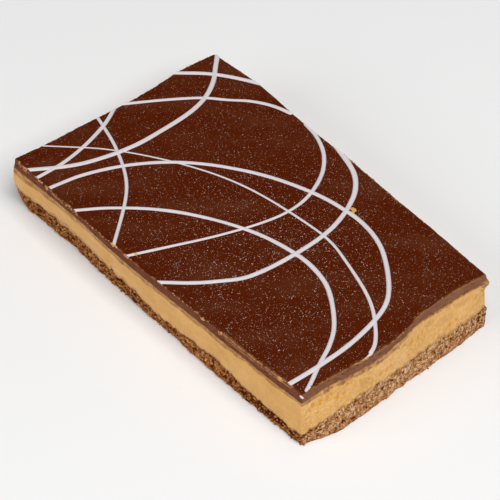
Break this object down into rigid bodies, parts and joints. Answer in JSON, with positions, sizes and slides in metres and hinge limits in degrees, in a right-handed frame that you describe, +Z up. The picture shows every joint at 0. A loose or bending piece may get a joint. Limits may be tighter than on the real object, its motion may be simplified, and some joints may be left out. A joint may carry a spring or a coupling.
{
  "type": "caramel slice",
  "caption": "Rectangular caramel slice with a crumbly biscuit base, a thick caramel layer and a chocolate top with crossing white drizzle.",
  "frame": {"origin": "centre of the bounding box's underside, on the surface that the slice rests on", "axes": "+X along the slice's length towards its crumbled right end, +Y across its width towards the back, +Z up through the layers"},
  "size_m": [0.1209, 0.072, 0.02],
  "materials": {
    "biscuit": "crumbly, matte",
    "caramel": "soft satin",
    "chocolate": "soft gloss on top, matte where cut",
    "white_drizzle": "satin"
  },
  "bodies": {
    "root": {"biscuit_base": "biscuit", "caramel_layer": "caramel", "chocolate_top": "chocolate"}
  },
  "joints": []
}
